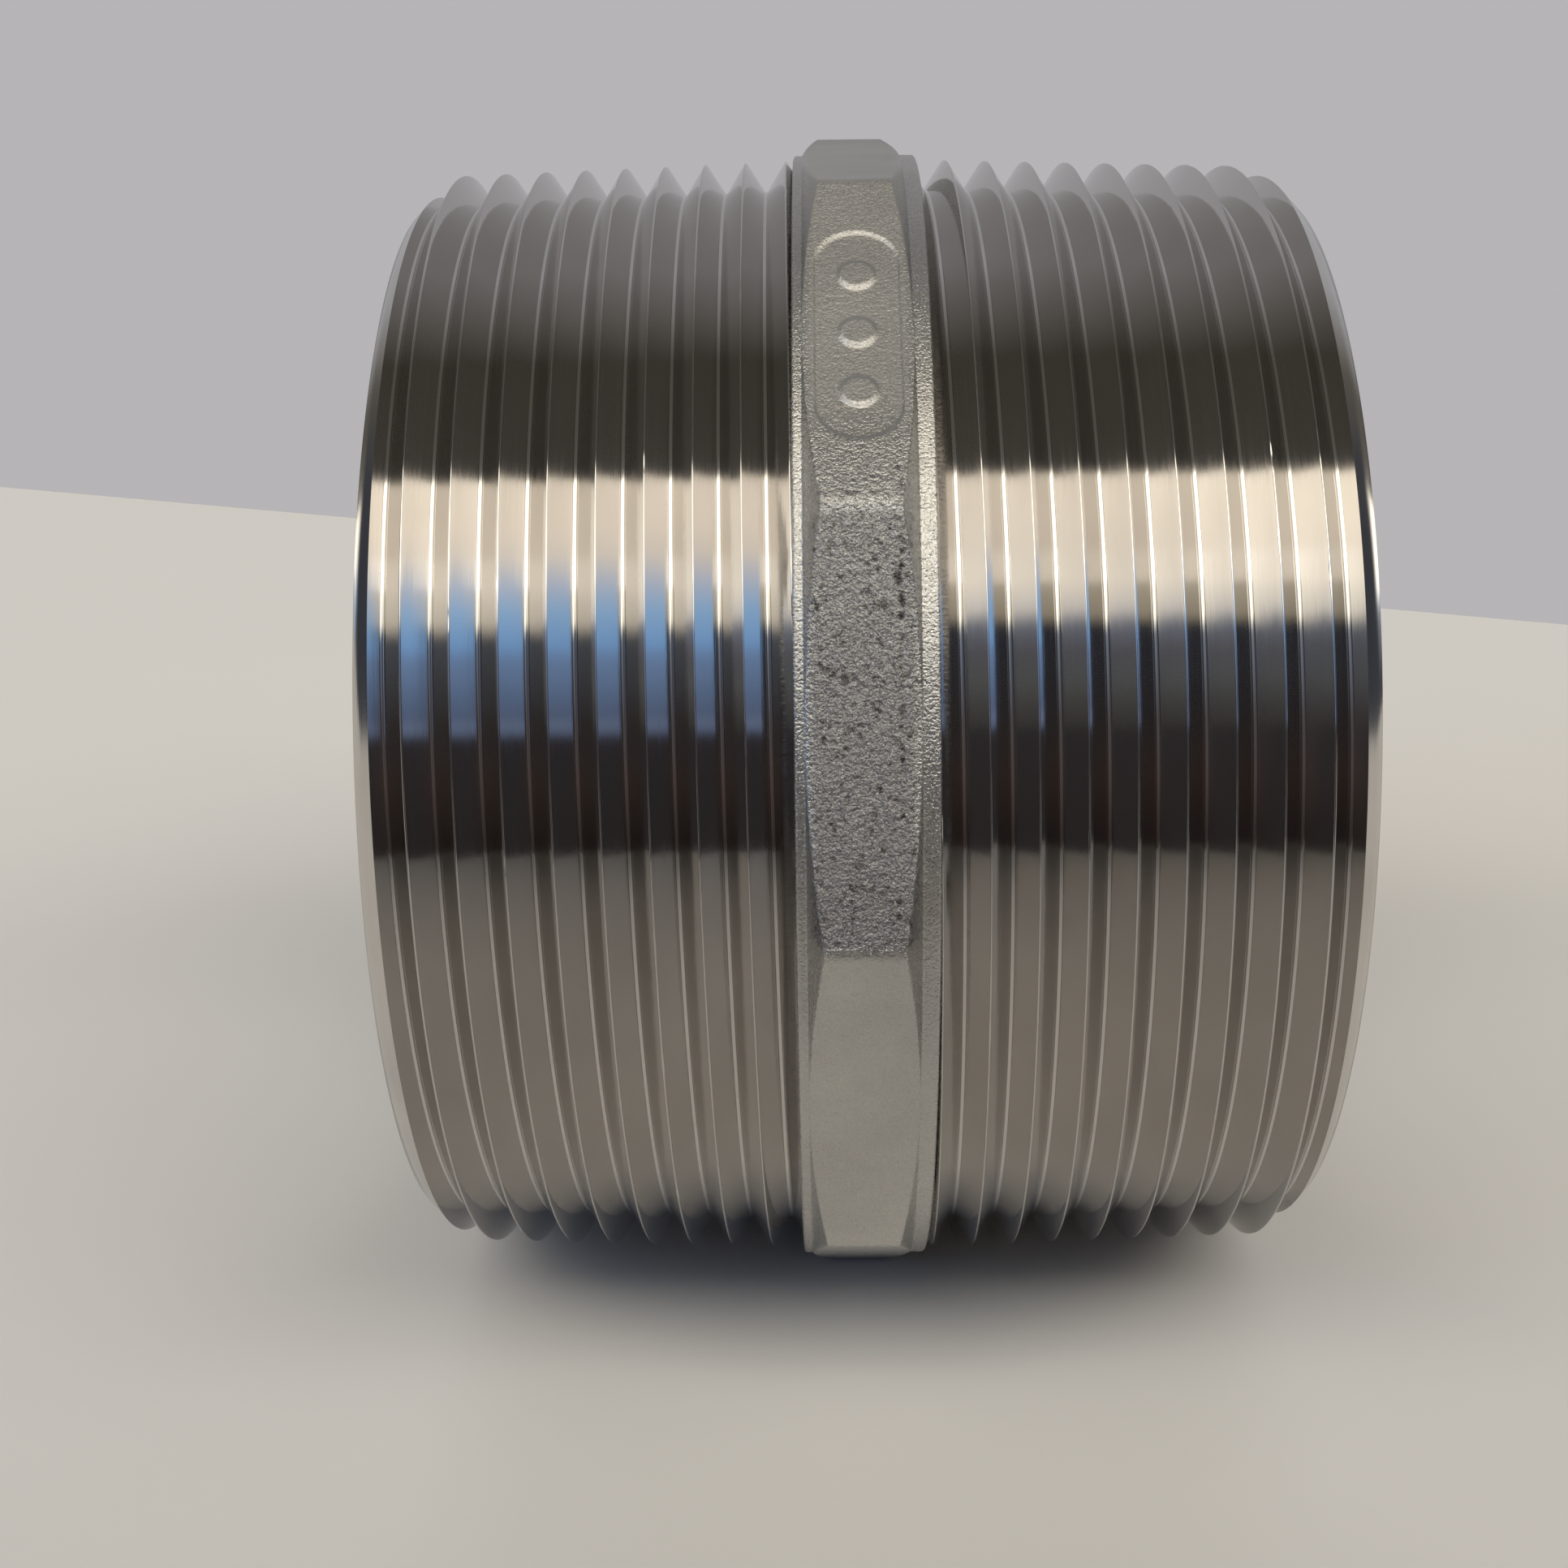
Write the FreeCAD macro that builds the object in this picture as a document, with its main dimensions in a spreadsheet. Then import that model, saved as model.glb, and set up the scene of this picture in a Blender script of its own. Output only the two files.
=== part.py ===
import FreeCAD, Part
import math
import os

import Sketcher

# Three-inch taper pipe nipple, one stainless casting with a machined thread on each end.
#
# Frame: +X runs along the bore, +Z is up and the origin is the centre of the collar on the
# bore axis. The casting lies on one flat of its ten-sided collar, so that flat faces -Z.
# Millimetres throughout. The angle round the axis is counted from +Y towards +Z.

V = FreeCAD.Vector
X_AXIS = V(1, 0, 0)
Y_AXIS = V(0, 1, 0)
Z_AXIS = V(0, 0, 1)

DRIVING = [
    # alias, value, what it is
    ("half_length", 33.75, "collar centre to an end face"),
    ("collar_width", 9.5, "over the two round rims of the collar"),
    ("rim_radius", 44.9, "round rims on both sides of the flats"),
    ("flat_apothem", 45.0, "axis to a flat; the wrench size is twice this"),
    ("flat_count", 10, "flats round the collar"),
    ("corner_rounding", 0.5, "radius on each ridge between two flats"),
    ("band_offset", -0.25, "the flats sit this far towards -X of the collar centre"),
    ("band_base_width", 7.6, "width of the flats where they meet the rims"),
    ("band_ridge_width", 5.2, "width of the flats along a ridge"),
    ("bore_radius", 38.95, "through bore, the inside of a schedule 40 pipe"),
    ("bore_chamfer", 1.0, "45 degree chamfer at both mouths of the bore"),
    ("pitch", 3.175, "thread pitch, 8 threads per inch"),
    ("taper_angle", 1.7899, "half angle of the taper, 1 in 16 on diameter"),
    ("end_pitch_radius", 42.426, "half the pitch diameter at an end face"),
    ("thread_depth", 2.4, "crest to root"),
    ("flank_angle", 30.0, "each flank from the plane across the axis"),
    ("crest_land", 0.15, "flat left on top of a crest"),
    ("end_chamfer_length", 2.4, "end chamfer, along the axis"),
    ("end_chamfer_height", 2.45, "end chamfer, across the axis; its rim is just under the roots"),
    ("right_runout", -10.5, "angle where the right groove meets the collar"),
    ("left_runout", -27.7, "angle where the left groove meets the collar"),
    ("plate_angle", 126.0, "angle of the flat that carries the marking plate"),
    ("plate_length", 18.8, "marking plate, round the collar"),
    ("plate_width", 5.9, "marking plate, along the axis"),
    ("plate_depth", 0.15, "how far the marking plate is sunk"),
    ("dot_radius", 1.3, "plain raised dots on the plate"),
    ("dot_spacing", 5.3, "between dots"),
    ("dot_height", 0.2, "of a dot above the sunk plate"),
]

DERIVED = [
    # alias, formula, what it is
    ("end_length", "half_length - collar_width / 2", "one threaded end"),
    ("overlap", "collar_width / 4", "how far a threaded end runs into the collar"),
    ("slope", "tan(taper_angle * 1deg)", "radius lost for each millimetre outwards"),
    ("end_crest", "end_pitch_radius + thread_depth / 2", "crest radius at an end face"),
    ("root_crest", "end_crest + slope * (end_length + overlap)", "crest radius inside the collar"),
    ("helix_root", "end_crest - thread_depth + slope * (end_length + pitch)", "where the groove starts"),
    ("groove_half", "(pitch - crest_land) / 2", "half the groove at the crests"),
    ("root_half", "groove_half - thread_depth * tan(flank_angle * 1deg)", "half the groove at its root"),
    ("groove_clear", "thread_depth * 1.25", "the cutter stands proud of the crests"),
    ("corner_radius", "flat_apothem / cos(180deg / flat_count)", "axis to a sharp ridge"),
    ("chamfer_base", "end_crest + slope * end_chamfer_length", "crest radius where the chamfer starts"),
]

doc = FreeCAD.newDocument("taper_pipe_nipple")
dims = doc.addObject("Spreadsheet::Sheet", "dims")


def fill_sheet():
    """Driving sizes first, as plain numbers, then the sizes worked out from them."""
    row = 1
    for alias, value, meaning in DRIVING:
        dims.set(f"A{row}", alias)
        dims.set(f"B{row}", str(value))
        dims.set(f"C{row}", meaning)
        dims.setAlias(f"B{row}", alias)
        row += 1
    for alias, formula, meaning in DERIVED:
        dims.set(f"A{row}", alias)
        dims.set(f"B{row}", f"={formula}")
        dims.set(f"C{row}", meaning)
        dims.setAlias(f"B{row}", alias)
        row += 1
    doc.recompute()


def size(alias):
    """The value of a sheet cell as a plain number."""
    value = dims.get(alias)
    return float(getattr(value, "Value", value))


def sheet(formula):
    """A formula over the sheet's aliases, as an expression for an object of the document."""
    names = [alias for alias, _, _ in DRIVING + DERIVED]
    words = formula.replace("(", " ( ").replace(")", " ) ").split()
    return " ".join(f"dims.{word}" if word in names else word for word in words)


def solid(kind, name, place=None, **sizes):
    """A Part primitive or boolean with its sizes bound to the sheet."""
    made = doc.addObject(kind, name)
    for prop, formula in sizes.items():
        made.setExpression(prop, sheet(formula))
    if place is not None:
        made.Placement = place
    return made


def combined(kind, name, base, tool):
    """Base with tool cut away, or what the two share."""
    made = doc.addObject(kind, name)
    made.Base = base
    made.Tool = tool
    return made


def joined(name, shapes):
    """Several overlapping solids as one."""
    made = doc.addObject("Part::MultiFuse", name)
    made.Shapes = shapes
    return made


def outline(name, corners, place):
    """A closed sketch through corners given as pairs of sheet formulas."""
    sketch = doc.addObject("Sketcher::SketchObject", name)
    sketch.Placement = place
    count = len(corners)
    points = [V(*(evaluate(sketch, part) for part in pair), 0) for pair in corners]
    for i in range(count):
        sketch.addGeometry(Part.LineSegment(points[i], points[(i + 1) % count]))
    for i in range(count):
        sketch.addConstraint(Sketcher.Constraint("Coincident", i, 2, (i + 1) % count, 1))
    for i, pair in enumerate(corners):
        for axis, formula, value in zip(("X", "Y"), pair, points[i]):
            held = sketch.addConstraint(
                Sketcher.Constraint(f"Distance{axis}", -1, 1, i, 1, value)
            )
            sketch.setExpression(f"Constraints[{held}]", sheet(formula))
    return sketch


def evaluate(host, formula):
    """What a formula over the sheet comes to, as a plain number."""
    value = host.evalExpression(sheet(formula))
    return float(getattr(value, "Value", value))


def along_x(x=0.0):
    """Turns an object built along its own Z so that it points along +X from x."""
    return FreeCAD.Placement(V(x, 0, 0), FreeCAD.Rotation(Y_AXIS, Z_AXIS, X_AXIS, "ZXY"))


def threaded_end(side, place):
    """One end: a taper with a helical groove that runs out against the collar, built along Z."""
    inward = FreeCAD.Placement(V(0, 0, -size("overlap")), FreeCAD.Rotation())
    blank = solid(
        "Part::Cone",
        f"{side}_taper",
        inward,
        Radius1="root_crest",
        Radius2="end_crest",
        Height="end_length + overlap",
    )
    chamfered = doc.addObject("Part::Revolution", f"{side}_chamfer_ring")
    chamfered.Source = outline(
        f"{side}_chamfer_outline",
        [
            ("end_crest - end_chamfer_height", "end_length"),
            ("chamfer_base", "end_length - end_chamfer_length"),
            ("chamfer_base + end_chamfer_height", "end_length - end_chamfer_length"),
            ("chamfer_base + end_chamfer_height", "end_length + pitch"),
            ("end_crest - end_chamfer_height", "end_length + pitch"),
        ],
        FreeCAD.Placement(V(), FreeCAD.Rotation(X_AXIS, 90)),
    )
    chamfered.Axis = Z_AXIS
    chamfered.Angle = 360
    chamfered.Solid = True

    helix = solid(
        "Part::Helix",
        f"{side}_groove_helix",
        FreeCAD.Placement(V(0, 0, -size("pitch")), FreeCAD.Rotation()),
        Pitch="pitch",
        Height="end_length + pitch * 3",
        Radius="helix_root",
        Angle="0 - taper_angle",
    )
    helix.SegmentLength = 1
    section = outline(
        f"{side}_groove_section",
        [
            ("helix_root", "0 - pitch - root_half"),
            ("helix_root + thread_depth", "0 - pitch - groove_half"),
            ("helix_root + groove_clear", "0 - pitch - groove_half"),
            ("helix_root + groove_clear", "0 - pitch + groove_half"),
            ("helix_root + thread_depth", "0 - pitch + groove_half"),
            ("helix_root", "0 - pitch + root_half"),
        ],
        FreeCAD.Placement(V(), FreeCAD.Rotation(X_AXIS, 90)),
    )
    groove = doc.addObject("Part::Sweep", f"{side}_groove")
    groove.Sections = [section]
    groove.Spine = (helix, [])
    groove.Solid = True
    groove.Frenet = True

    grooved = combined("Part::Cut", f"{side}_grooved_taper", blank, groove)
    end = combined("Part::Cut", f"{side}_threaded_end", grooved, chamfered)
    end.Placement = place
    return end


def collar():
    """Two round rims with the band of flats between them, its corners chamfered by a cone each side."""
    rims = solid(
        "Part::Cylinder",
        "collar_rims",
        along_x(-size("collar_width") / 2),
        Radius="rim_radius",
        Height="collar_width",
    )
    flats = solid(
        "Part::Prism",
        "collar_flats",
        None,
        Circumradius="corner_radius",
        Height="collar_width",
    )
    flats.setExpression("Polygon", sheet("flat_count"))
    doc.recompute()

    ridges = [
        (number, size("corner_rounding"), size("corner_rounding"))
        for number, edge in enumerate(flats.Shape.Edges, 1)
        if abs(edge.Vertexes[0].Z - edge.Vertexes[1].Z) > size("collar_width") / 2
    ]
    rounded = doc.addObject("Part::Fillet", "rounded_flats")
    rounded.Base = flats
    rounded.Edges = ridges
    # a ridge of the prism lies on its own X axis, so half a step brings a flat to face down
    half_step = 180.0 / size("flat_count")
    down = FreeCAD.Rotation(X_AXIS, -90 - half_step)
    middle = along_x(-size("collar_width") / 2)
    rounded.Placement = FreeCAD.Placement(middle.Base, down * middle.Rotation)

    envelope = doc.addObject("Part::Revolution", "corner_chamfers")
    envelope.Source = outline(
        "corner_chamfer_outline",
        [
            ("band_offset - band_base_width / 2", "bore_radius"),
            ("band_offset - band_base_width / 2", "rim_radius"),
            ("band_offset - band_ridge_width / 2", "corner_radius"),
            ("band_offset + band_ridge_width / 2", "corner_radius"),
            ("band_offset + band_base_width / 2", "rim_radius"),
            ("band_offset + band_base_width / 2", "bore_radius"),
        ],
        FreeCAD.Placement(),
    )
    envelope.Axis = X_AXIS
    envelope.Angle = 360
    envelope.Solid = True

    band = combined("Part::Common", "flat_band", rounded, envelope)
    return joined("collar", [rims, band])


def slot_solid(name, length, width, height):
    """A round-ended plate on the XY plane, its length along Y."""
    reach = size(length) / 2 - size(width) / 2
    box = solid("Part::Box", f"{name}_middle", None, Length=width, Width=f"{length} - {width}")
    box.setExpression("Height", sheet(height))
    box.Placement = FreeCAD.Placement(V(-size(width) / 2, -reach, 0), FreeCAD.Rotation())
    ends = []
    for label, y in (("low", -reach), ("high", reach)):
        place = FreeCAD.Placement(V(0, y, 0), FreeCAD.Rotation())
        ends.append(solid("Part::Cylinder", f"{name}_{label}_end", place, Radius=f"{width} / 2"))
        ends[-1].setExpression("Height", sheet(height))
    return joined(name, [box, *ends])


def on_plate(sunk):
    """Where the marking plate's flat is, with its outward normal as the local Z."""
    angle = math.radians(size("plate_angle"))
    normal = V(0, math.cos(angle), math.sin(angle))
    turn = FreeCAD.Rotation(X_AXIS, V(), normal, "ZXY")
    offset = V(size("band_offset"), 0, 0)
    return FreeCAD.Placement(normal * (size("flat_apothem") - sunk) + offset, turn)


def marking_tools():
    """The sunk plate as a cutter, and three plain dots that stand up from it."""
    pocket = slot_solid("plate_pocket", "plate_length", "plate_width", "plate_depth * 4")
    pocket.Placement = on_plate(size("plate_depth"))
    dots = []
    for step in (-1, 0, 1):
        dot = solid("Part::Cylinder", f"plate_dot_{step + 2}", None, Radius="dot_radius")
        dot.setExpression("Height", sheet("dot_height * 2"))
        seat = on_plate(size("plate_depth") + size("dot_height"))
        slide = FreeCAD.Placement(V(0, step * size("dot_spacing"), 0), FreeCAD.Rotation())
        dot.Placement = seat.multiply(slide)
        dots.append(dot)
    return pocket, dots


def bore_tool():
    """The bore with a chamfer cone at each mouth."""
    straight = solid("Part::Cylinder", "bore_wall", None, Radius="bore_radius")
    straight.setExpression("Height", sheet("half_length * 2 + pitch * 2"))
    straight.Placement = along_x(-size("half_length") - size("pitch"))
    cones = []
    for label, sign in (("right", 1), ("left", -1)):
        cone = solid(
            "Part::Cone",
            f"{label}_bore_chamfer",
            None,
            Radius1="bore_radius",
            Radius2="bore_radius + bore_chamfer * 2",
            Height="bore_chamfer * 2",
        )
        mouth = along_x(size("half_length") - size("bore_chamfer"))
        if sign < 0:
            mouth = FreeCAD.Placement(V(), FreeCAD.Rotation(Z_AXIS, 180)).multiply(mouth)
        cone.Placement = mouth
        cones.append(cone)
    return joined("bore_tool", [straight, *cones])


def end_place(runout, left):
    """Stands a threaded end on the collar's side, clocked so that its groove runs out at the given angle."""
    clock = 180 - runout if left else runout
    turn = FreeCAD.Placement(V(), FreeCAD.Rotation(X_AXIS, clock))
    place = turn.multiply(along_x(size("collar_width") / 2))
    if left:
        place = FreeCAD.Placement(V(), FreeCAD.Rotation(Z_AXIS, 180)).multiply(place)
    return place


def check(objects):
    """Stops when any object failed or any sub-part is empty or broken."""
    for made in doc.Objects:
        bad = [state for state in made.State if state in ("Invalid", "Error")]
        if bad:
            raise RuntimeError(f"{made.Name}: {bad}")
    for made in objects:
        if made.Shape.isNull() or not made.Shape.isValid():
            raise RuntimeError(f"{made.Label}: no valid shape")
        if len(made.Shape.Solids) != 1:
            raise RuntimeError(f"{made.Label}: {len(made.Shape.Solids)} solids")


fill_sheet()
right_end = threaded_end("right", end_place(size("right_runout"), left=False))
left_end = threaded_end("left", end_place(size("left_runout"), left=True))
outside = joined("outside", [right_end, left_end, collar()])
pocket, dots = marking_tools()
pocketed = combined("Part::Cut", "pocketed", outside, pocket)
marked = joined("marked", [pocketed, *dots])
nipple = combined("Part::Cut", "nipple_body", marked, bore_tool())
nipple.Label = "nipple_body"
nipple.Placement = FreeCAD.Placement()
doc.recompute()

PARTS = [nipple]
check(PARTS)

os.makedirs("parts", exist_ok=True)
for part in PARTS:
    part.Shape.exportStep(f"parts/{part.Label}.step")
    box = part.Shape.BoundBox
    print(part.Label, "volume", round(part.Shape.Volume, 1), "faces", len(part.Shape.Faces))
    print("  x", round(box.XMin, 3), round(box.XMax, 3), "y", round(box.YMin, 3), round(box.YMax, 3))
    print("  z", round(box.ZMin, 3), round(box.ZMax, 3))
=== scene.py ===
import math
import random

import bpy
from mathutils import Matrix, Vector, noise


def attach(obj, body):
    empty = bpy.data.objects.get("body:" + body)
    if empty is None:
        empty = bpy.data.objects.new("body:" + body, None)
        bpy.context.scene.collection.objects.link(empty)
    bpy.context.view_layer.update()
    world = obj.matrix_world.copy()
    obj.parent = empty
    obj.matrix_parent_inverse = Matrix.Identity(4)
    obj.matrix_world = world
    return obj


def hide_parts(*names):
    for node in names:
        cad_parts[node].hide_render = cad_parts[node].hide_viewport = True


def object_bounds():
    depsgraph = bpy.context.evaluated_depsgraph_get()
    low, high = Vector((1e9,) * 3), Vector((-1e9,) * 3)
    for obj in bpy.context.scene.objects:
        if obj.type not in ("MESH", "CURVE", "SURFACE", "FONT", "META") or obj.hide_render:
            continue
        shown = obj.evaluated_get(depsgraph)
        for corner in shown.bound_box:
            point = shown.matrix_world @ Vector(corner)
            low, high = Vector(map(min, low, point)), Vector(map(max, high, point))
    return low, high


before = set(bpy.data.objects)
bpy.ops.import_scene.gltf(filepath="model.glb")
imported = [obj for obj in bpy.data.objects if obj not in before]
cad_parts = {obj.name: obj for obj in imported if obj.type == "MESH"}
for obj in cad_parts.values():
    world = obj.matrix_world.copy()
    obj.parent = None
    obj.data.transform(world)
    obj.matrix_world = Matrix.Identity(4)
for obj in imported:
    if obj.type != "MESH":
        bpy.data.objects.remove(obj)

# Three-inch taper pipe nipple, one stainless casting with a machined thread on each end.
# The CAD solid is shown as three closed meshes that meet face to face: the collar as it was
# cast, and the two turned ends. Lengths in this file are millimetres until they become mesh
# points; +X runs along the bore and +Z is up. Angles round the axis go from +Y towards +Z.

MM = 0.001
CAD_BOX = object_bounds()
NODE = "nipple_body"
BODY = "root"

# Collar
COLLAR_HALF = 4.75
RIM_RADIUS = 44.9
RIM_EDGE = 0.25
FLAT_APOTHEM = 45.0
FLAT_COUNT = 10
FLAT_STEP = 360 / FLAT_COUNT
BAND_OFFSET = -0.25
BAND_BASE_HALF = 3.8
BAND_RIDGE_HALF = 2.6
RIDGE_SOFT = 0.4
CREASE_SOFT = 0.12
PLATE_ANGLE = 126.0
PLATE_HALF_LENGTH = 9.4
PLATE_HALF_WIDTH = 2.95
PLATE_DEPTH = 0.15
PLATE_EDGE = 0.16
DOT_RADIUS = 1.3
DOT_SPACING = 5.3
DOT_HEIGHT = 0.2
ROUGH_FLAT_ANGLE = 162.0
PIT_LINE = 2.2
PIT_DEPTH = 0.12
COLLAR_CREASE = 50
# How much of its grain the calm skin keeps, and how much duller that skin is instead.
CALM_GRAIN = 0.45
CALM_DULL = 0.17

# Bore
BORE_RADIUS = 38.95
BORE_CHAMFER = 1.0
MOUTH_ROUNDING = 0.05

# Threads
HALF_LENGTH = 33.75
PITCH = 3.175
TAPER = math.tan(math.radians(1.7899))
END_CREST = 43.626
RUNOUT = {"right": -10.5, "left": -27.7}
END_CHAMFER_LENGTH = 2.4
END_CHAMFER_HEIGHT = 2.45
RIM_ROUNDING = 0.06
THREAD_COLUMNS = 560
THREAD_CREASE = 35
FIRST_TURN = -2
SNAP = 0.03
BELOW_CHAMFER = -1e-6
NICK_COUNT = 90
CREST_WOBBLE = 0.006
CREST_ZONE = 0.5
# Half a groove, from the middle of its root up to the middle of a crest: how far along the
# axis, and how deep below the crests.
HALF_GROOVE = [
    (0.0, 2.265),
    (0.085, 2.262),
    (0.118, 2.25),
    (0.14, 2.219),
    (1.253, 0.472),
    (1.5, 0.084),
    (1.53, 0.04),
    (1.552, 0.017),
    (1.57, 0.004),
]


def smooth_min(a, b, soft):
    """The lesser of two heights, with the crease between them rounded off."""
    near = max(soft - abs(a - b), 0.0) / soft
    return min(a, b) - near * near * soft / 4


def smooth_max(a, b, soft):
    """The greater of two heights, with the crease between them filled."""
    return -smooth_min(-a, -b, soft)


def ramp(value, low, high):
    """0 at low and 1 at high, smooth between and beyond."""
    t = min(max((value - low) / (high - low), 0.0), 1.0)
    return t * t * (3 - 2 * t)


def on_axis(x, radius, degrees):
    """A point at a radius and angle round the bore axis."""
    angle = math.radians(degrees)
    return Vector((x, radius * math.cos(angle), radius * math.sin(angle)))


class Shell:
    """A closed mesh made face by face, with a material slot and a path (u, v) for each face.

    Marks are an optional vector for each of the first points, which the cast skin reads.
    """

    def __init__(self):
        self.points = []
        self.faces = []
        self.slots = []
        self.paths = []
        self.marks = []

    def point(self, place):
        self.points.append(place * MM)
        return len(self.points) - 1

    def face(self, corners, path, slot=0):
        kept = [k for k in range(len(corners)) if corners[k] != corners[k - 1]]
        if len({corners[k] for k in kept}) > 2:
            self.faces.append([corners[k] for k in kept])
            self.paths.extend(path[k] for k in kept)
            self.slots.append(slot)

    def strip(self, near, far, v_near, v_far, slot=0):
        """A closed ring of faces between two loops of as many points."""
        count = len(near)
        for i in range(count):
            after = (i + 1) % count
            u, u_after = i / count, (i + 1) / count
            self.face(
                [near[i], near[after], far[after], far[i]],
                [(u, v_near), (u_after, v_near), (u_after, v_far), (u, v_far)],
                slot,
            )

    def build(self, name, materials, crease_degrees):
        mesh = bpy.data.meshes.new(name)
        mesh.from_pydata(self.points, [], self.faces)
        for material in materials:
            mesh.materials.append(material)
        mesh.polygons.foreach_set("material_index", self.slots)
        path = mesh.uv_layers.new(name="path")
        path.data.foreach_set("uv", [value for corner in self.paths for value in corner])
        mesh.polygons.foreach_set("use_smooth", [True] * len(self.faces))
        mesh.set_sharp_from_angle(angle=math.radians(crease_degrees))
        if self.marks:
            plain = [(0.0, 0.0, 0.0)] * (len(self.points) - len(self.marks))
            marks = mesh.attributes.new("marks", "FLOAT_VECTOR", "POINT")
            marks.data.foreach_set("vector", [v for mark in self.marks + plain for v in mark])
        piece = bpy.data.objects.new(name, mesh)
        bpy.context.scene.collection.objects.link(piece)
        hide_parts(NODE)
        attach(piece, BODY)


# ---------------------------------------------------------------- materials


def node_adder(tree):
    """A helper that adds a node with its inputs filled, and gives one of its outputs."""

    def add(kind, out=0, inputs=None, **settings):
        node = tree.nodes.new(kind)
        for key, value in settings.items():
            setattr(node, key, value)
        for key, value in (inputs or {}).items():
            if isinstance(value, bpy.types.NodeSocket):
                tree.links.new(value, node.inputs[key])
            else:
                node.inputs[key].default_value = value
        return node.outputs[out]

    return add


def new_material(name):
    """A material, a helper that adds nodes to it and one that feeds its shader."""
    material = bpy.data.materials.new(name)
    material.use_nodes = True
    tree = material.node_tree
    shader = tree.nodes["Principled BSDF"]

    def feed(socket, value):
        if isinstance(value, bpy.types.NodeSocket):
            tree.links.new(value, shader.inputs[socket])
        else:
            shader.inputs[socket].default_value = value

    return material, node_adder(tree), feed


def colour_steps(add, factor, steps):
    """A colour ramp through (position, colour) steps."""
    socket = add("ShaderNodeValToRGB", inputs={"Fac": factor})
    band = socket.node.color_ramp
    for i, (position, colour) in enumerate(steps):
        stop = band.elements[i] if i < 2 else band.elements.new(position)
        stop.position = position
        stop.color = (*colour, 1)
    return socket


def span(add, value, low, high, to_low, to_high):
    """A value carried from one range to another."""
    inputs = {
        "Value": value,
        "From Min": low,
        "From Max": high,
        "To Min": to_low,
        "To Max": to_high,
    }
    return add("ShaderNodeMapRange", inputs=inputs)


def maths(add, operation, a, b=0.0):
    return add("ShaderNodeMath", inputs={0: a, 1: b}, operation=operation)


def mixed(add, factor, first, second):
    return add("ShaderNodeMix", out=2, inputs={0: factor, 6: first, 7: second}, data_type="RGBA")


def parts(add, vector):
    """The three numbers in a vector."""
    return add("ShaderNodeSeparateXYZ", inputs={0: vector}).node.outputs


def cloudy(add, place, scale, detail, roughness=0.5):
    """Soft noise at a place."""
    inputs = {"Vector": place, "Scale": scale, "Detail": detail, "Roughness": roughness}
    return add("ShaderNodeTexNoise", inputs=inputs)


def mottled(add, factor, low, high):
    """A colour that drifts between two tones with a noise."""
    return colour_steps(add, factor, [(0.3, low), (0.7, high)])


def bumped(add, height, distance, under=None):
    """A bump of a height in metres, on top of another one if there is one."""
    inputs = {"Strength": 1.0, "Distance": distance, "Height": height}
    if under is not None:
        inputs["Normal"] = under
    return add("ShaderNodeBump", inputs=inputs)


def turned_steel():
    """Thread flanks off the lathe: mirror bright, with fine tool marks along the helix."""
    material, add, feed = new_material("turned_steel")
    along, across, _ = parts(add, add("ShaderNodeUVMap", uv_map="path"))

    def streaks(per_turn, per_millimetre, roughness):
        """Noise drawn out along the helix."""
        inputs = {
            0: maths(add, "MULTIPLY", along, per_turn),
            1: maths(add, "MULTIPLY", across, per_millimetre),
        }
        return cloudy(add, add("ShaderNodeCombineXYZ", inputs=inputs), 1.0, 2.0, roughness)

    fine = streaks(6.0, 8.0, 0.6)
    chatter = streaks(70.0, 1.2, 0.5)
    patches = cloudy(add, add("ShaderNodeTexCoord", out=3), 90.0, 3.0)
    feed("Base Color", mottled(add, patches, (0.51, 0.49, 0.47), (0.55, 0.53, 0.51)))
    feed("Metallic", 1.0)
    feed("Roughness", span(add, fine, 0.3, 0.75, 0.05, 0.11))
    feed("Normal", bumped(add, chatter, 0.000003, bumped(add, fine, 0.0000012)))
    return material


def faced_steel():
    """End faces and chamfers: concentric rings left by the facing tool."""
    material, add, feed = new_material("faced_steel")
    coords = add("ShaderNodeTexCoord", out=3)
    x, y, z = parts(add, coords)
    squared = maths(add, "ADD", maths(add, "POWER", y, 2), maths(add, "POWER", z, 2))
    ring_place = add("ShaderNodeCombineXYZ", inputs={0: maths(add, "SQRT", squared), 1: x})
    rings = cloudy(add, ring_place, 9000.0, 3.0, 0.6)
    patches = cloudy(add, coords, 160.0, 4.0)
    feed("Base Color", mottled(add, patches, (0.55, 0.53, 0.505), (0.63, 0.61, 0.585)))
    feed("Metallic", 1.0)
    feed("Roughness", span(add, rings, 0.3, 0.7, 0.1, 0.2))
    feed("Normal", bumped(add, rings, 0.000003))
    return material


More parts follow.
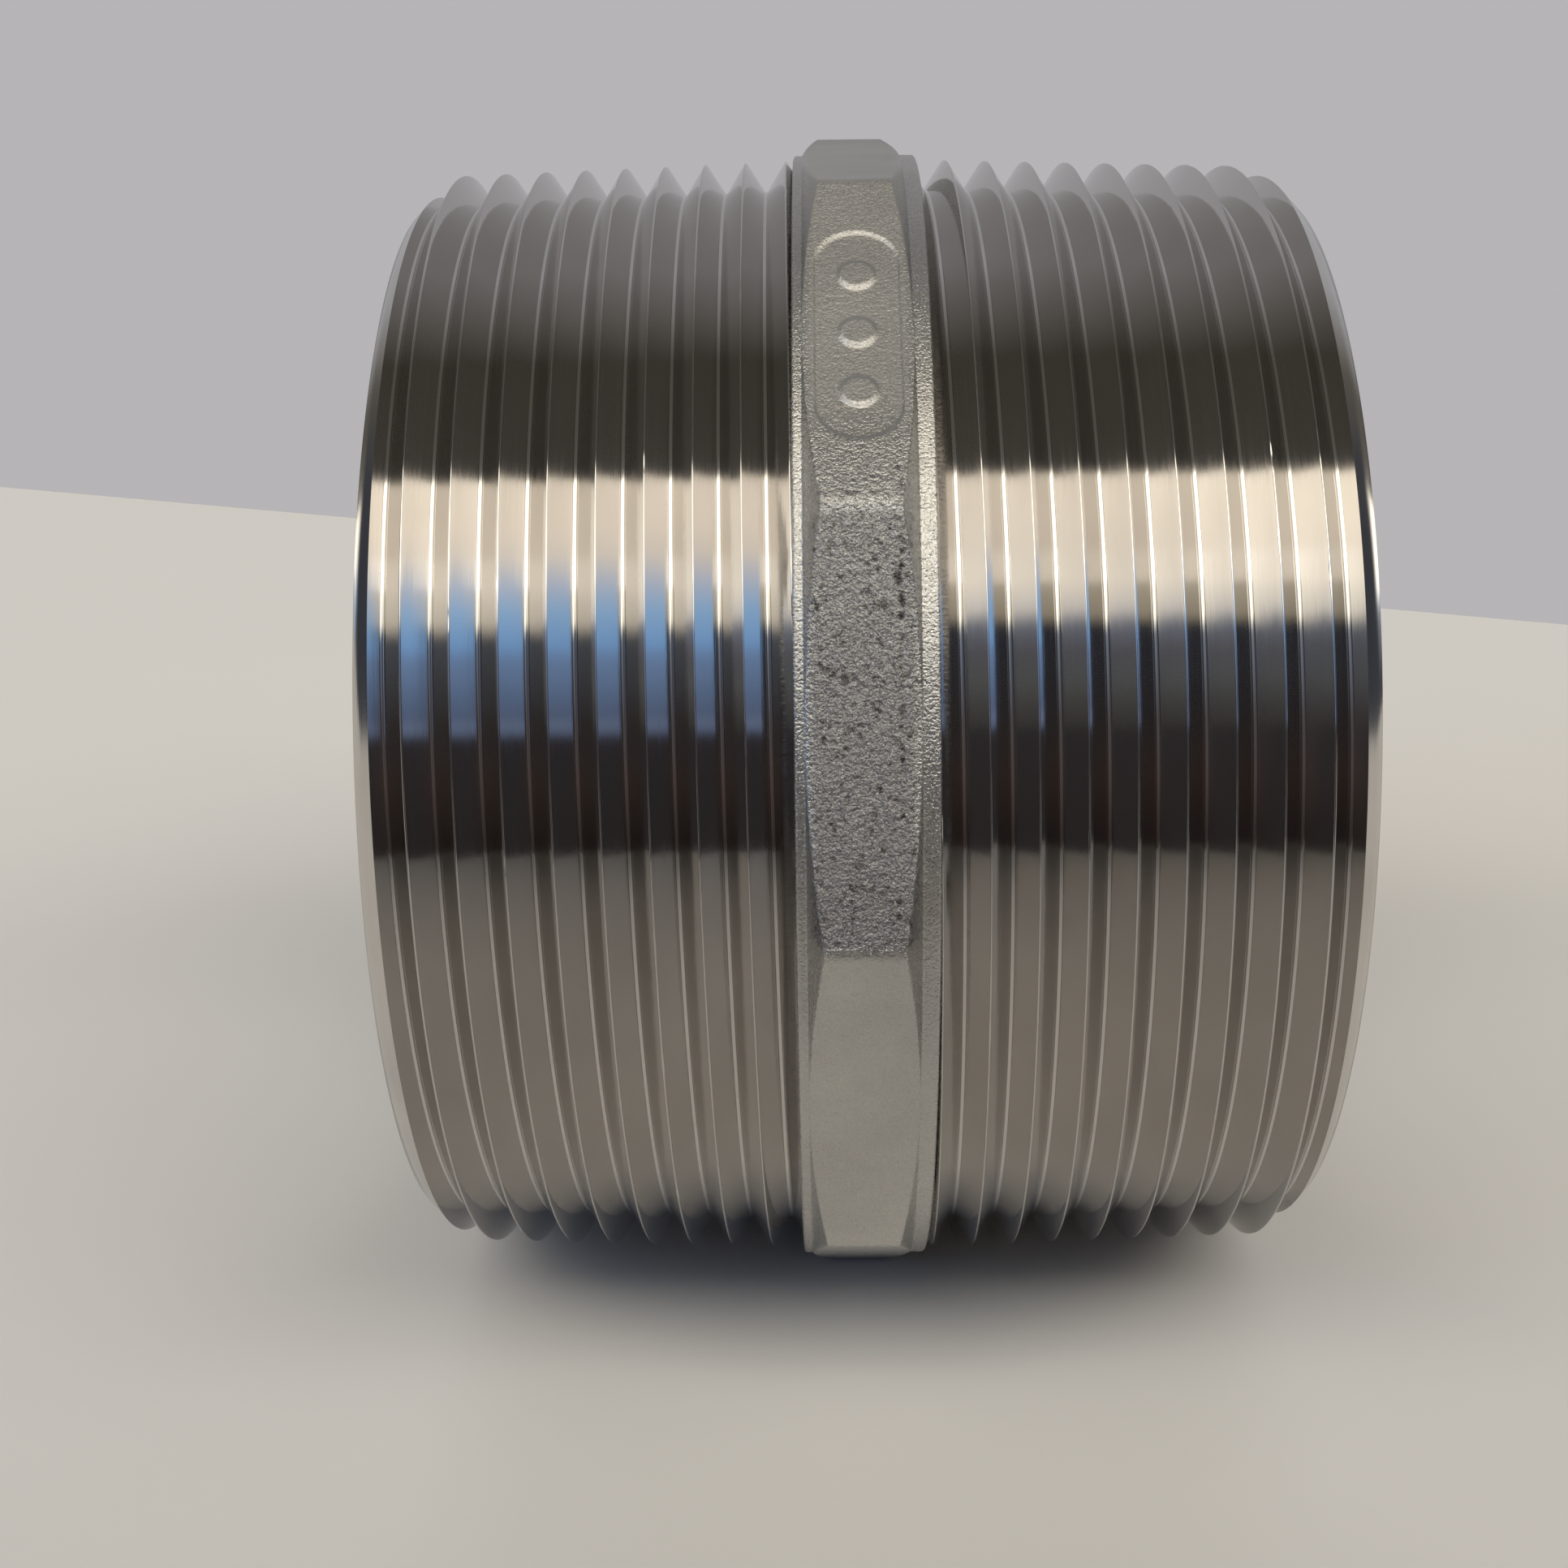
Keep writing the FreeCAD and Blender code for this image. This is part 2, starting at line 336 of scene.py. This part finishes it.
def cast_steel(name, dull, grain_depth):
    """Investment-cast skin after blasting: a fine sparkling grain, rougher and pitted in places."""
    material, add, feed = new_material(name)
    coords = add("ShaderNodeTexCoord", out=3)
    marks = add("ShaderNodeAttribute", out=1, attribute_name="marks")
    rough, pit, calm = parts(add, marks)
    grain = cloudy(add, coords, 5200.0, 2.0, 0.6)
    wrinkles = cloudy(add, coords, 2600.0, 3.0, 0.6)
    patches = cloudy(add, coords, 130.0, 4.0)
    specks = cloudy(add, coords, 1500.0, 2.0)
    tint = mottled(add, patches, (0.43, 0.42, 0.405), (0.50, 0.49, 0.47))
    # A darker tone on the rough flat, deepened towards the flat's lower edge as painted shade, then
    # dark specks, and painted shade in the pits themselves.
    height = parts(add, coords)[2]
    rough_tone_and_shade = maths(add, "MULTIPLY", rough, span(add, height, 0.003, 0.024, 0.8, 0.38))
    # The purple-grey mixed in here is the rough flat's own tone, plus painted shade that grows
    # towards its bottom.
    toned_and_shaded = mixed(add, rough_tone_and_shade, tint, (0.2, 0.19, 0.195, 1))
    speck_mask = maths(add, "MULTIPLY", span(add, specks, 0.6, 0.7, 0.0, 0.8), rough)
    # Dark specks, and painted shade in the pits: both are mixed towards near-black.
    dark = maths(add, "MAXIMUM", speck_mask, pit)
    feed("Base Color", mixed(add, dark, toned_and_shaded, (0.07, 0.065, 0.06, 1)))
    feed("Metallic", 1.0)
    grain_dull = span(add, grain, 0.3, 0.7, dull - 0.08, dull + 0.08)
    feed("Roughness", maths(add, "ADD", grain_dull, maths(add, "MULTIPLY", calm, CALM_DULL)))
    wrinkle_height = maths(add, "MULTIPLY", wrinkles, span(add, rough, 0.0, 1.0, 0.3, 1.7))
    grain_height = maths(add, "MULTIPLY", grain, span(add, calm, 0.0, 1.0, 1.0, CALM_GRAIN))
    coarse = bumped(add, wrinkle_height, grain_depth * 2)
    feed("Normal", bumped(add, grain_height, grain_depth, coarse))
    return material


# ---------------------------------------------------------------- threaded ends


def groove_rows():
    """One groove and crest from root to root: share of a pitch along the axis, and depth."""
    up = [(along / PITCH, depth) for along, depth in HALF_GROOVE]
    down = [(1 - along, depth) for along, depth in reversed(up[1:])]
    return up + [(0.5, 0.0)] + down


def crest_radius(out):
    return END_CREST + TAPER * (HALF_LENGTH - out)


def chamfer_radius(out):
    """The end chamfer, a cone that takes the crests down to just under the roots."""
    start = HALF_LENGTH - END_CHAMFER_LENGTH
    rise = (END_CHAMFER_HEIGHT + TAPER * END_CHAMFER_LENGTH) / END_CHAMFER_LENGTH
    return crest_radius(start) - rise * (out - start)


def above_chamfer(out, radius):
    """How far a point stands above the end chamfer."""
    return radius - chamfer_radius(out)


def trim_to_chamfer(column):
    """Lowers what stands above the end chamfer onto it, and meets it exactly where it starts."""
    over = [above_chamfer(out, radius) for out, radius in column]
    trimmed = list(column)
    for j, (out, radius) in enumerate(column):
        if over[j] < 0:
            continue
        trimmed[j] = (out, chamfer_radius(out))
        for near in (j + 1, j - 1):
            if 0 <= near < len(column) and over[near] < 0:
                cut = over[near] / (over[near] - over[j])
                out_near, r_near = column[near]
                trimmed[j] = (out_near + cut * (out - out_near), r_near + cut * (radius - r_near))
    column[:] = trimmed


def crest_nicks(columns, turns, rng):
    """Small dents knocked into the crests, as a depth for each turn and column."""
    nicks = [[0.0] * columns for _ in range(turns)]
    for _ in range(NICK_COUNT):
        turn = rng.randrange(turns)
        middle = rng.uniform(0, columns)
        depth = 0.01 + 0.035 * rng.random() ** 2
        width = rng.uniform(0.6, 1.8)
        for i in range(int(middle - 3 * width), int(middle + 3 * width) + 1):
            fall = math.exp(-(((i - middle) / width) ** 2))
            nicks[turn][i % columns] = max(nicks[turn][i % columns], depth * fall)
    return nicks


def threaded_end(name, side, materials, seed):
    """One threaded end. Its columns follow the helix, so each crest is one unbroken edge."""
    shell = Shell()
    rng = random.Random(seed)
    rows = groove_rows()
    turns = math.ceil((HALF_LENGTH - COLLAR_HALF) / PITCH) - FIRST_TURN
    nicks = crest_nicks(THREAD_COLUMNS, turns, rng)
    facing = 1 if side == "right" else -1

    def place(out, radius, column):
        degrees = RUNOUT[side] + facing * 360 * column / THREAD_COLUMNS
        return on_axis(facing * out, radius, degrees)

    grid = []
    inner_loop = []
    outer_loop = []
    outer_ends = []
    for i in range(THREAD_COLUMNS):
        column = []
        for turn in range(turns):
            nick = nicks[turn][i]
            wobble = CREST_WOBBLE * noise.noise(Vector((turn * 7.3 + i * 0.05, seed, 0)))
            for share, depth in rows:
                out = COLLAR_HALF + (FIRST_TURN + turn + share + i / THREAD_COLUMNS) * PITCH
                near_crest = max(1 - depth / CREST_ZONE, 0.0)
                radius = crest_radius(out) - max(depth, nick) + wobble * near_crest
                column.append((out, radius))
        trim_to_chamfer(column)
        first = next(j for j, (out, _) in enumerate(column) if out > COLLAR_HALF + SNAP)
        last = max(
            j for j, (out, r) in enumerate(column) if above_chamfer(out, r) < BELOW_CHAMFER
        )
        (out_a, r_a), (out_b, r_b) = column[first - 1], column[first]
        cut = (COLLAR_HALF - out_a) / (out_b - out_a)
        inner = shell.point(place(COLLAR_HALF, r_a + cut * (r_b - r_a), i))
        end = column[last + 1]
        if end[0] - column[last][0] < SNAP:
            last -= 1
        outer = shell.point(place(*end, i))
        ids = []
        for j, (out, radius) in enumerate(column):
            if j < first:
                ids.append(inner)
            elif j > last:
                ids.append(outer)
            else:
                ids.append(shell.point(place(out, radius, i)))
        grid.append(ids)
        inner_loop.append(inner)
        outer_loop.append(outer)
        outer_ends.append(end)

    per_turn = len(rows)
    grid.append(grid[0][per_turn:] + [grid[0][-1]] * per_turn)
    lengths = [0.0]
    full = rows + [(1.0, rows[0][1])]
    for (share_a, depth_a), (share_b, depth_b) in zip(full, full[1:]):
        lengths.append(lengths[-1] + math.hypot((share_b - share_a) * PITCH, depth_b - depth_a))
    for i in range(THREAD_COLUMNS):
        for j in range(per_turn * turns - 1):
            turn, row = divmod(j, per_turn)
            u, u_after = turn + i / THREAD_COLUMNS, turn + (i + 1) / THREAD_COLUMNS
            v, v_after = lengths[row], lengths[row + 1]
            shell.face(
                [grid[i][j], grid[i + 1][j], grid[i + 1][j + 1], grid[i][j + 1]],
                [(u, v), (u_after, v), (u_after, v_after), (u, v_after)],
            )

    # Down the chamfer to the end face, over it and into the bore, and back to the collar.
    rim = END_CREST - END_CHAMFER_HEIGHT
    mouth = HALF_LENGTH - BORE_CHAMFER
    goal_out, goal_radius = HALF_LENGTH - RIM_ROUNDING / 2, rim + RIM_ROUNDING
    loops = [outer_loop]
    for share in (0.5, 1.0):
        ring = []
        for i, (out, radius) in enumerate(outer_ends):
            ring_out = out + share * (goal_out - out)
            ring_radius = radius + share * (goal_radius - radius)
            ring.append(shell.point(place(ring_out, ring_radius, i)))
        loops.append(ring)
    profile = [
        (HALF_LENGTH, rim - RIM_ROUNDING),
        (HALF_LENGTH, BORE_RADIUS + BORE_CHAMFER + MOUTH_ROUNDING),
        (HALF_LENGTH - MOUTH_ROUNDING, BORE_RADIUS + BORE_CHAMFER - 0.03),
        (mouth, BORE_RADIUS),
        (mouth - 0.15, BORE_RADIUS),
        ((mouth + COLLAR_HALF) / 2, BORE_RADIUS),
        (COLLAR_HALF, BORE_RADIUS),
    ]
    for out, radius in profile:
        loops.append([shell.point(place(out, radius, i)) for i in range(THREAD_COLUMNS)])
    loops.append(inner_loop)
    for step, (near, far) in enumerate(zip(loops, loops[1:])):
        in_bore = 6 <= step < len(loops) - 2
        shell.strip(near, far, step, step + 1, 2 if in_bore else 1)
    shell.build(name, materials, THREAD_CREASE)


# ---------------------------------------------------------------- collar


def flat_offset(degrees):
    """How far an angle is from the middle of the nearest flat, in degrees."""
    return (degrees - PLATE_ANGLE + FLAT_STEP / 2) % FLAT_STEP - FLAT_STEP / 2


def band_radius(x, offset):
    """The ten flats with soft ridges, and the cone each side that cuts their corners."""
    flat = FLAT_APOTHEM / math.cos(math.radians(offset))
    from_ridge = math.radians(FLAT_STEP / 2 - abs(offset)) * FLAT_APOTHEM
    if from_ridge < RIDGE_SOFT:
        slope = math.tan(math.radians(FLAT_STEP / 2))
        flat -= RIDGE_SOFT * slope / 2 * (1 - from_ridge / RIDGE_SOFT) ** 2
    corner = FLAT_APOTHEM / math.cos(math.radians(FLAT_STEP / 2))
    steep = (corner - RIM_RADIUS) / (BAND_BASE_HALF - BAND_RIDGE_HALF)
    cone = RIM_RADIUS + (BAND_BASE_HALF - abs(x - BAND_OFFSET)) * steep
    return smooth_min(flat, cone, CREASE_SOFT)


def rim_radius(x):
    """The round rims, with a small radius on their outer edges."""
    inset = COLLAR_HALF - abs(x)
    if inset >= RIM_EDGE:
        return RIM_RADIUS
    return RIM_RADIUS - RIM_EDGE + math.sqrt(RIM_EDGE**2 - (RIM_EDGE - inset) ** 2)


def plate_relief(x, offset):
    """The sunk marking plate with its three plain dots, as a height over the flat."""
    along = FLAT_APOTHEM * math.tan(math.radians(offset))
    across = x - BAND_OFFSET
    reach = PLATE_HALF_LENGTH - PLATE_HALF_WIDTH
    outside = math.hypot(max(abs(along) - reach, 0.0), across) - PLATE_HALF_WIDTH
    relief = -PLATE_DEPTH * ramp(-outside, -PLATE_EDGE / 2, PLATE_EDGE)
    for middle in (-DOT_SPACING, 0.0, DOT_SPACING):
        inside = DOT_RADIUS - math.hypot(along - middle, across)
        relief += DOT_HEIGHT * ramp(inside, -PLATE_EDGE / 2, PLATE_EDGE)
    return relief


def cast_relief(place, rough):
    """Orange peel of the casting. Rough is 0 on the smooth skin and 1 on the roughest flat."""
    broad = noise.noise(place * 0.28)
    peel = noise.noise(place * 1.5)
    fine = noise.noise(place * 3.1 + Vector((31, 7, 3)))
    return 0.02 * broad + (0.004 + 0.018 * rough) * peel + (0.004 + 0.02 * rough) * fine


def skin_roughness(degrees):
    """How rough the flats' skin is round the collar: one flat most, its neighbour a little."""
    from_rough = abs((degrees - ROUGH_FLAT_ANGLE + 180) % 360 - 180)
    roughest = ramp(FLAT_STEP / 2 - from_rough, 0.0, 1.2)
    ridge = ROUGH_FLAT_ANGLE - FLAT_STEP / 2
    return max(roughest, 0.45 * ramp(degrees, ridge - 9, ridge - 1) * ramp(ridge - degrees, -2, 0))


def skin_calm(degrees):
    """Where the grain is weak: the plate's flat and the one behind it, up to the rough flat."""
    ridge = ROUGH_FLAT_ANGLE - FLAT_STEP / 2
    return ramp(ridge - 4 - degrees, 0.0, 8.0) * ramp(degrees, 64.0, 72.0)


def pit_depth(x, degrees, place, rough):
    """Pits left by the mould: a few anywhere on the rough flat, most along one crooked line."""
    wander = 0.25 * noise.noise(Vector((degrees * 0.45, 3.0, 0.0)))
    line = math.exp(-(((x - PIT_LINE - wander) / 0.2) ** 2)) * ramp(168 - degrees, 0.0, 6.0)
    open_here = noise.noise(place * 1.9 + Vector((5, 60, 11)))
    scattered = ramp(open_here, 0.45, 0.7)
    return rough * (0.9 * scattered + line * ramp(open_here, -0.05, 0.35))


def graded(stops):
    """Positions from a start through (end, step) stretches, each cut into equal steps."""
    values = [stops[0]]
    for end, step in stops[1:]:
        start = values[-1]
        count = max(round(abs(end - start) / step), 1)
        values.extend(start + (end - start) * k / count for k in range(1, count + 1))
    return values


def collar_columns():
    """Angles round the collar: closer together on the plate and towards every ridge."""
    angles = []
    for number in range(FLAT_COUNT):
        middle = PLATE_ANGLE + number * FLAT_STEP
        count = {0: 200, 1: 150}.get(number, 64)
        for k in range(count):
            t = 2 * k / count - 1
            angles.append(middle + FLAT_STEP / 2 * (1.25 * t - 0.25 * t**3))
    return angles


def collar_casting(name, materials):
    """The collar as a height over every (x, angle), then its sides and its stretch of bore."""
    shell = Shell()
    edge = COLLAR_HALF - RIM_EDGE
    cone_out = BAND_BASE_HALF + 0.2
    cone_in = BAND_RIDGE_HALF - 0.2
    xs = graded(
        [
            -COLLAR_HALF,
            (-edge, 0.06),
            (BAND_OFFSET - cone_out, 0.15),
            (BAND_OFFSET - cone_in, 0.065),
            (BAND_OFFSET + cone_in, 0.12),
            (BAND_OFFSET + cone_out, 0.065),
            (edge, 0.15),
            (COLLAR_HALF, 0.06),
        ]
    )
    angles = collar_columns()
    rows = []
    for x in xs:
        row = []
        inset = ramp(COLLAR_HALF - abs(x), 0.0, RIM_EDGE)
        for degrees in angles:
            offset = flat_offset(degrees)
            radius = smooth_max(rim_radius(x), band_radius(x, offset), CREASE_SOFT)
            on_band = ramp(BAND_BASE_HALF - abs(x - BAND_OFFSET), 0.0, 0.8)
            rough = skin_roughness(degrees) * on_band
            here = on_axis(x, radius, degrees)
            pit = pit_depth(x, degrees, here, rough)
            radius += inset * cast_relief(here, rough) - PIT_DEPTH * pit
            if abs((degrees - PLATE_ANGLE + 180) % 360 - 180) < FLAT_STEP / 2:
                radius += plate_relief(x, offset)
            row.append(shell.point(on_axis(x, radius, degrees)))
            shell.marks.append((rough, pit, skin_calm(degrees % 360) * on_band))
        rows.append(row)
    for number, (near, far) in enumerate(zip(rows, rows[1:])):
        shell.strip(near, far, number, number + 1)
    right_bore = [shell.point(on_axis(COLLAR_HALF, BORE_RADIUS, d)) for d in angles]
    left_bore = [shell.point(on_axis(-COLLAR_HALF, BORE_RADIUS, d)) for d in angles]
    shell.strip(rows[-1], right_bore, 0, 1)
    shell.strip(right_bore, left_bore, 0, 1, 1)
    shell.strip(left_bore, rows[0], 0, 1)
    shell.build(name, materials, COLLAR_CREASE)


# ---------------------------------------------------------------- stage


def plain_material(name, colour, dull):
    material, add, feed = new_material(name)
    coords = add("ShaderNodeTexCoord", out=3)
    mottle = add("ShaderNodeTexNoise", inputs={"Vector": coords, "Scale": 30.0, "Detail": 4.0})
    low = tuple(channel * 0.985 for channel in colour)
    feed("Base Color", colour_steps(add, mottle, [(0.3, low), (0.7, colour)]))
    feed("Roughness", dull)
    return material


def flat_sheet(name, corners, material):
    """A flat stage piece through its corners, in metres."""
    mesh = bpy.data.meshes.new(name)
    mesh.from_pydata(corners, [], [list(range(len(corners)))])
    mesh.materials.append(material)
    piece = bpy.data.objects.new(name, mesh)
    bpy.context.scene.collection.objects.link(piece)
    return piece


# The room is banded by the angle halfway between a direction and a line that rises 17 degrees
# towards the front, roughly the way to the photograph's camera, so that steel turned round the
# bore mirrors each band with straight edges there. The room is fixed and doesn't follow the
# camera. Each band is (halfway angle in degrees, radiance), and blends into the next. The two
# sides take over about half way out: a blue window on the left, grey on the right.
HALFWAY_RISE = math.radians(17)
BAND_RANGE = (-60, 100)
ROOM_PEAK = 4.0
BACKDROP = (0.470, 0.458, 0.468)
DUSK = (0.05, 0.055, 0.07)
REAR = [
    (45, (0.135, 0.127, 0.112)),
    (57.5, (0.124, 0.114, 0.098)),
    (64.3, (0.30, 0.295, 0.29)),
    (71.5, (0.44, 0.44, 0.46)),
    (98, (0.42, 0.415, 0.43)),
]
WINDOW = [
    (31.2, (3.6, 3.44, 3.05)),
    (33.9, (3.6, 3.44, 3.05)),
    (34.6, (3.1, 2.9, 2.48)),
    (42.6, (3.1, 2.9, 2.48)),
    (43.2, (0.13, 0.13, 0.13)),
]
FRONT_LEFT = [
    (5, (0.055, 0.043, 0.04)),
    (11, (0.10, 0.075, 0.07)),
    (17, (0.09, 0.083, 0.095)),
    (26.4, (0.10, 0.12, 0.17)),
    (27.4, (1.4, 1.3, 1.05)),
    (30.6, (2.0, 1.88, 1.55)),
]
FRONT_RIGHT = [
    (5, (0.055, 0.043, 0.04)),
    (11, (0.115, 0.09, 0.085)),
    (17, (0.12, 0.112, 0.12)),
    (25.9, (0.27, 0.32, 0.41)),
    (27.5, (2.5, 2.42, 2.15)),
    (30.6, (3.3, 3.2, 2.85)),
]
SIDE_LEFT = [
    (4, (0.06, 0.055, 0.06)),
    (15.3, (0.07, 0.065, 0.075)),
    (15.8, (0.36, 0.50, 0.84)),
    (16.7, (0.36, 0.50, 0.84)),
    (17.3, (0.24, 0.35, 0.62)),
    (23.4, (0.42, 0.70, 1.28)),
    (24.6, (0.5, 1.02, 1.95)),
    (28.2, (0.75, 1.32, 2.15)),
    (31, (1.3, 1.55, 2.0)),
    (34, (2.1, 2.0, 1.85)),
    (37, (2.4, 2.22, 1.9)),
    (42.4, (2.4, 2.22, 1.9)),
    (43.0, (0.13, 0.13, 0.13)),
]
SIDE_RIGHT = [
    (4, (0.06, 0.055, 0.06)),
    (15.6, (0.07, 0.065, 0.075)),
    (16.6, (0.12, 0.118, 0.125)),
    (18.5, (0.158, 0.162, 0.169)),
    (20.9, (0.225, 0.249, 0.267)),
    (24, (0.243, 0.26, 0.317)),
    (26.6, (0.40, 0.46, 0.62)),
    (28.3, (1.9, 1.9, 1.85)),
    (31.2, (2.6, 2.48, 2.2)),
    (42.4, (2.4, 2.22, 1.9)),
    (43.0, (0.13, 0.13, 0.13)),
]


def room():
    """Lights the scene and is what the steel mirrors. The camera sees a plain backdrop instead."""
    world = bpy.data.worlds.new("room")
    bpy.context.scene.world = world
    world.use_nodes = True
    nodes = world.node_tree.nodes
    add = node_adder(world.node_tree)
    seen = nodes["Background"]
    seen.inputs["Color"].default_value = (*BACKDROP, 1)
    x, y, z = parts(add, add("ShaderNodeTexCoord"))
    forward = maths(add, "SUBTRACT", math.cos(HALFWAY_RISE), y)
    upward = maths(add, "ADD", z, math.sin(HALFWAY_RISE))
    lowest, highest = BAND_RANGE
    halfway = maths(add, "ARCTAN2", upward, forward)
    place = span(add, halfway, math.radians(lowest), math.radians(highest), 0.0, 1.0)

    def dimmed(colour):
        return tuple(channel / ROOM_PEAK for channel in colour)

    def bands(steps):
        shares = [
            ((degrees - lowest) / (highest - lowest), dimmed(colour)) for degrees, colour in steps
        ]
        return colour_steps(add, place, shares)

    left = bands(FRONT_LEFT + WINDOW + REAR)
    right = bands(FRONT_RIGHT + WINDOW + REAR)
    middle = mixed(add, span(add, x, -0.08, 0.08, 0.0, 1.0), left, right)
    side_left = bands(SIDE_LEFT + REAR)
    side_right = bands(SIDE_RIGHT + REAR)
    ahead = mixed(add, span(add, x, -0.6, -0.5, 1.0, 0.0), middle, side_left)
    across = mixed(add, span(add, x, 0.5, 0.6, 0.0, 1.0), ahead, side_right)
    width = maths(add, "ABSOLUTE", x)
    behind = span(add, y, 0.0, 0.1, 0.0, 1.0)
    beside = maths(add, "MULTIPLY", behind, span(add, width, 0.76, 0.86, 0.0, 1.0))
    sideways = maths(add, "MAXIMUM", beside, span(add, width, 0.9, 0.95, 0.0, 1.0))
    whole = mixed(add, sideways, across, (*dimmed(DUSK), 1))
    mirrored = add("ShaderNodeBackground", inputs={"Color": whole, "Strength": ROOM_PEAK})
    camera_ray = add("ShaderNodeLightPath")
    both = add("ShaderNodeMixShader", inputs={0: camera_ray, 1: mirrored, 2: seen.outputs[0]})
    world.node_tree.links.new(both, nodes["World Output"].inputs["Surface"])


# Stage pieces, in metres
DESK_BACK = (Vector((-0.171, 0.260, 0)), Vector((0.116, 0.158, 0)))
DESK_BACK_BEYOND = (0.349, 0.408)
DESK_SIDE = (0.5, -0.11)
DESK_ROUNDED_FRONT = [
    (0.184, -0.112),
    (0.186, -0.137),
    (0.179, -0.185),
    (0.162, -0.230),
    (0.134, -0.271),
    (0.097, -0.304),
    (0.050, -0.326),
]
DESK_FRONT = (0, -0.333)
CLOTH_HALF_WIDTH = 0.3
CLOTH_FRONT = -0.345
CLOTH_HEIGHTS = (-0.05, 0.27)

# Camera: place in millimetres, turns in degrees
CAMERA_PLACE = (-2.77, -172.10, 62.64)
CAMERA_HEADING = 0.668
CAMERA_DOWN = 20.913
CAMERA_ROLL = -0.816
CAMERA_LENS = 49.741
CAMERA_SHIFT = (-0.0107, -0.0274)


def desk():
    """A pale desk with a rounded front edge, on which the nipple lies."""
    floor_z = CAD_BOX[0][2]
    back_left, back_right = DESK_BACK
    along_back = (back_right - back_left).normalized()
    beyond_left, beyond_right = DESK_BACK_BEYOND
    side_x, side_y = DESK_SIDE
    outline = [(back_left - along_back * beyond_left).xy, (-side_x, side_y)]
    outline += [(-x, y) for x, y in DESK_ROUNDED_FRONT]
    outline.append(DESK_FRONT)
    outline += reversed(DESK_ROUNDED_FRONT)
    outline += [(side_x, side_y), (back_right + along_back * beyond_right).xy]
    laminate = plain_material("desk_laminate", (0.775, 0.757, 0.742), 0.55)
    flat_sheet("desk", [(x, y, floor_z) for x, y in outline], laminate)


def flag():
    """A dark cloth off the desk's front edge that only shades it: unseen, and not mirrored."""
    low, high = CLOTH_HEIGHTS
    corners = [(-1, low), (1, low), (1, high), (-1, high)]
    cloth = flat_sheet(
        "flag",
        [(side * CLOTH_HALF_WIDTH, CLOTH_FRONT, height) for side, height in corners],
        plain_material("dark_cloth", (0.05, 0.04, 0.035), 0.9),
    )
    cloth.visible_camera = False
    cloth.visible_glossy = False


def photograph_camera():
    """A camera where the photograph's was, as fitted to its outline and thread crests."""
    data = bpy.data.cameras.new("camera")
    data.sensor_width = 36
    data.lens = CAMERA_LENS
    data.shift_x, data.shift_y = CAMERA_SHIFT
    data.clip_start = 0.01
    camera = bpy.data.objects.new("camera", data)
    camera.matrix_world = (
        Matrix.Translation(Vector(CAMERA_PLACE) * MM)
        @ Matrix.Rotation(math.radians(CAMERA_HEADING), 4, "Z")
        @ Matrix.Rotation(math.radians(90 - CAMERA_DOWN), 4, "X")
        @ Matrix.Rotation(math.radians(CAMERA_ROLL), 4, "Z")
    )
    bpy.context.scene.collection.objects.link(camera)
    bpy.context.scene.camera = camera


# ---------------------------------------------------------------- the scene

turned = turned_steel()
faced = faced_steel()
cast = cast_steel("cast_steel", 0.30, 0.000065)
cast_bore = cast_steel("cast_bore", 0.4, 0.00006)

threaded_end("right_thread", "right", [turned, faced, cast_bore], 3)
threaded_end("left_thread", "left", [turned, faced, cast_bore], 11)
collar_casting("collar_casting", [cast, cast_bore])
for material_slot in bpy.data.objects[NODE].material_slots:
    material_slot.material = cast

desk()
flag()
room()
photograph_camera()
bpy.context.scene.view_settings.view_transform = "Standard"
